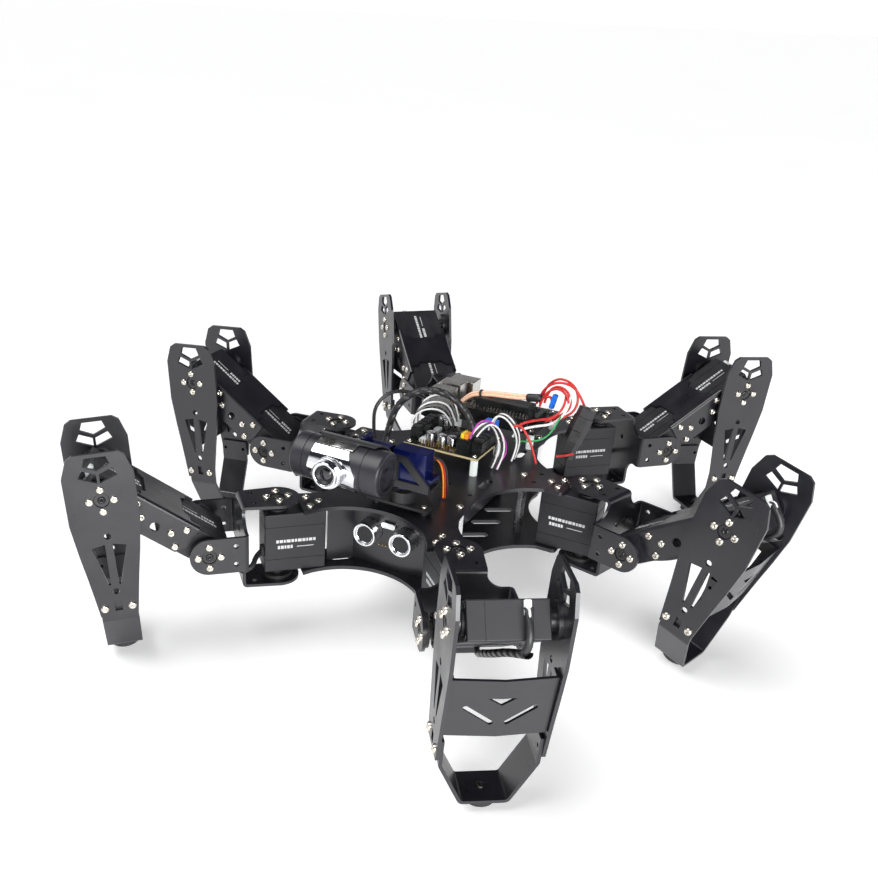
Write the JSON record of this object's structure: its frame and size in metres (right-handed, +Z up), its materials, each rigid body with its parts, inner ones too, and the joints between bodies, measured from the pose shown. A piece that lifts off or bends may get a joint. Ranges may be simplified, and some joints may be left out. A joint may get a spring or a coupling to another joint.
{
  "type": "six-legged walking robot kit",
  "caption": "Walking robot with six servo-driven sheet-metal legs around a two-plate chassis carrying control boards, a range sensor and a pan-tilt camera.",
  "frame": {"origin": "on the floor, under the middle of the robot's overall box", "axes": "+Z up, the robot looks along -Y, its left side is +X"},
  "size_m": [0.466, 0.5072, 0.148],
  "materials": {
    "black_sheet": "matt black anodised",
    "spacer_metal": "satin",
    "servo_case": "fine matt texture",
    "horn_plastic": "satin",
    "foot_rubber": "matt",
    "battery_wrap": "shrink wrap",
    "sensor_metal": "bright",
    "black_plastic": "satin",
    "white_nylon": "satin",
    "board_black": "solder mask",
    "port_metal": "bright tinned",
    "blue_plastic": "translucent",
    "camera_black": "satin",
    "wire_insulation": "satin, each wire its own colour",
    "lead_sleeve": "satin",
    "camera_chrome": "polished"
  },
  "bodies": {
    "chassis": {"hip_servos": "servo_case", "top_plate": "black_sheet", "bottom_plate": "black_sheet", "plate_spacers": "spacer_metal", "battery_pack": "battery_wrap", "sensor_panel": "black_sheet", "ultrasonic_sensor": "sensor_metal", "pan_base": "black_plastic", "board_standoffs": "white_nylon", "controller_board": "board_black", "computer_board": "board_black", "board_ports": "port_metal", "wiring_harness": "wire_insulation"},
    "right_front_hip": {"right_front_hip_bracket": "black_sheet", "right_front_hip_horns": "horn_plastic"},
    "right_front_thigh": {"right_front_thigh_servos": "servo_case", "right_front_thigh_cover": "black_sheet", "right_front_servo_lead": "lead_sleeve"},
    "right_front_shin": {"right_front_shin_frame": "black_sheet", "right_front_rubber_foot": "foot_rubber"},
    "left_front_hip": {"left_front_hip_bracket": "black_sheet", "left_front_hip_horns": "horn_plastic"},
    "left_front_thigh": {"left_front_thigh_servos": "servo_case", "left_front_thigh_cover": "black_sheet", "left_front_servo_lead": "lead_sleeve"},
    "left_front_shin": {"left_front_shin_frame": "black_sheet", "left_front_rubber_foot": "foot_rubber"},
    "left_middle_hip": {"left_middle_hip_bracket": "black_sheet", "left_middle_hip_horns": "horn_plastic"},
    "left_middle_thigh": {"left_middle_thigh_servos": "servo_case", "left_middle_thigh_cover": "black_sheet", "left_middle_servo_lead": "lead_sleeve"},
    "left_middle_shin": {"left_middle_shin_frame": "black_sheet", "left_middle_rubber_foot": "foot_rubber"},
    "left_rear_hip": {"left_rear_hip_bracket": "black_sheet", "left_rear_hip_horns": "horn_plastic"},
    "left_rear_thigh": {"left_rear_thigh_servos": "servo_case", "left_rear_thigh_cover": "black_sheet", "left_rear_servo_lead": "lead_sleeve"},
    "left_rear_shin": {"left_rear_shin_frame": "black_sheet", "left_rear_rubber_foot": "foot_rubber"},
    "right_rear_hip": {"right_rear_hip_bracket": "black_sheet", "right_rear_hip_horns": "horn_plastic"},
    "right_rear_thigh": {"right_rear_thigh_servos": "servo_case", "right_rear_thigh_cover": "black_sheet", "right_rear_servo_lead": "lead_sleeve"},
    "right_rear_shin": {"right_rear_shin_frame": "black_sheet", "right_rear_rubber_foot": "foot_rubber"},
    "right_middle_hip": {"right_middle_hip_bracket": "black_sheet", "right_middle_hip_horns": "horn_plastic"},
    "right_middle_thigh": {"right_middle_thigh_servos": "servo_case", "right_middle_thigh_cover": "black_sheet", "right_middle_servo_lead": "lead_sleeve"},
    "right_middle_shin": {"right_middle_shin_frame": "black_sheet", "right_middle_rubber_foot": "foot_rubber"},
    "pan_head": {"micro_servos": "blue_plastic", "pan_bracket": "black_plastic"},
    "camera": {"camera_clip": "black_plastic", "camera_barrel": "camera_black", "camera_lens": "camera_chrome"}
  },
  "joints": [
    {"name": "right_front_hip_yaw", "type": "hinge", "parent": "chassis", "child": "right_front_hip", "pos_m": [-0.0651, -0.13114, 0.0693], "axis": [0, 0, 1], "range_deg": [-25, 25]},
    {"name": "right_front_thigh_pitch", "type": "hinge", "parent": "right_front_hip", "child": "right_front_thigh", "pos_m": [-0.09884, -0.16429, 0.0738], "axis": [-0.7009, 0.7133, 0], "range_deg": [-30, 35]},
    {"name": "right_front_shin_pitch", "type": "hinge", "parent": "right_front_thigh", "child": "right_front_shin", "pos_m": [-0.14236, -0.20706, 0.11775], "axis": [-0.7009, 0.7133, 0], "range_deg": [-20, 60]},
    {"name": "left_front_hip_yaw", "type": "hinge", "parent": "chassis", "child": "left_front_hip", "pos_m": [0.0613, -0.13114, 0.0693], "axis": [0, 0, 1], "range_deg": [-25, 25]},
    {"name": "left_front_thigh_pitch", "type": "hinge", "parent": "left_front_hip", "child": "left_front_thigh", "pos_m": [0.08857, -0.16979, 0.0738], "axis": [-0.8171, -0.5764, 0], "range_deg": [-30, 35]},
    {"name": "left_front_shin_pitch", "type": "hinge", "parent": "left_front_thigh", "child": "left_front_shin", "pos_m": [0.12372, -0.21962, 0.11781], "axis": [-0.8171, -0.5764, 0], "range_deg": [-20, 60]},
    {"name": "left_middle_hip_yaw", "type": "hinge", "parent": "chassis", "child": "left_middle_hip", "pos_m": [0.0971, 0.00386, 0.0693], "axis": [0, 0, 1], "range_deg": [-25, 25]},
    {"name": "left_middle_thigh_pitch", "type": "hinge", "parent": "left_middle_hip", "child": "left_middle_thigh", "pos_m": [0.14233, -0.00997, 0.0738], "axis": [-0.2924, -0.9563, 0], "range_deg": [-30, 35]},
    {"name": "left_middle_shin_pitch", "type": "hinge", "parent": "left_middle_thigh", "child": "left_middle_shin", "pos_m": [0.20228, -0.0283, 0.11533], "axis": [-0.2924, -0.9563, 0], "range_deg": [-13, 60]},
    {"name": "left_rear_hip_yaw", "type": "hinge", "parent": "chassis", "child": "left_rear_hip", "pos_m": [0.0613, 0.13886, 0.0693], "axis": [0, 0, 1], "range_deg": [-25, 25]},
    {"name": "left_rear_thigh_pitch", "type": "hinge", "parent": "left_rear_hip", "child": "left_rear_thigh", "pos_m": [0.09434, 0.17271, 0.0738], "axis": [0.7157, -0.6984, 0], "range_deg": [-30, 35]},
    {"name": "left_rear_shin_pitch", "type": "hinge", "parent": "left_rear_thigh", "child": "left_rear_shin", "pos_m": [0.1369, 0.21633, 0.11786], "axis": [0.7157, -0.6984, 0], "range_deg": [-20, 60]},
    {"name": "right_rear_hip_yaw", "type": "hinge", "parent": "chassis", "child": "right_rear_hip", "pos_m": [-0.0651, 0.13886, 0.0693], "axis": [0, 0, 1], "range_deg": [-25, 25]},
    {"name": "right_rear_thigh_pitch", "type": "hinge", "parent": "right_rear_hip", "child": "right_rear_thigh", "pos_m": [-0.09878, 0.17207, 0.0738], "axis": [0.7022, 0.712, 0], "range_deg": [-30, 35]},
    {"name": "right_rear_shin_pitch", "type": "hinge", "parent": "right_rear_thigh", "child": "right_rear_shin", "pos_m": [-0.14382, 0.21649, 0.11446], "axis": [0.7022, 0.712, 0], "range_deg": [-12, 60]},
    {"name": "right_middle_hip_yaw", "type": "hinge", "parent": "chassis", "child": "right_middle_hip", "pos_m": [-0.1009, 0.00386, 0.0693], "axis": [0, 0, 1], "range_deg": [-25, 25]},
    {"name": "right_middle_thigh_pitch", "type": "hinge", "parent": "right_middle_hip", "child": "right_middle_thigh", "pos_m": [-0.14791, -0.00133, 0.0738], "axis": [-0.1097, 0.994, 0], "range_deg": [-30, 35]},
    {"name": "right_middle_shin_pitch", "type": "hinge", "parent": "right_middle_thigh", "child": "right_middle_shin", "pos_m": [-0.20857, -0.00803, 0.11775], "axis": [-0.1097, 0.994, 0], "range_deg": [-20, 60]},
    {"name": "camera_pan", "type": "hinge", "parent": "chassis", "child": "pan_head", "pos_m": [0.0021, -0.08714, 0.1045], "axis": [0, 0, 1], "range_deg": [-35, 60]},
    {"name": "camera_tilt", "type": "hinge", "parent": "pan_head", "child": "camera", "pos_m": [-0.0329, -0.08714, 0.124], "axis": [-1, 0, 0], "range_deg": [-15, 30]}
  ]
}
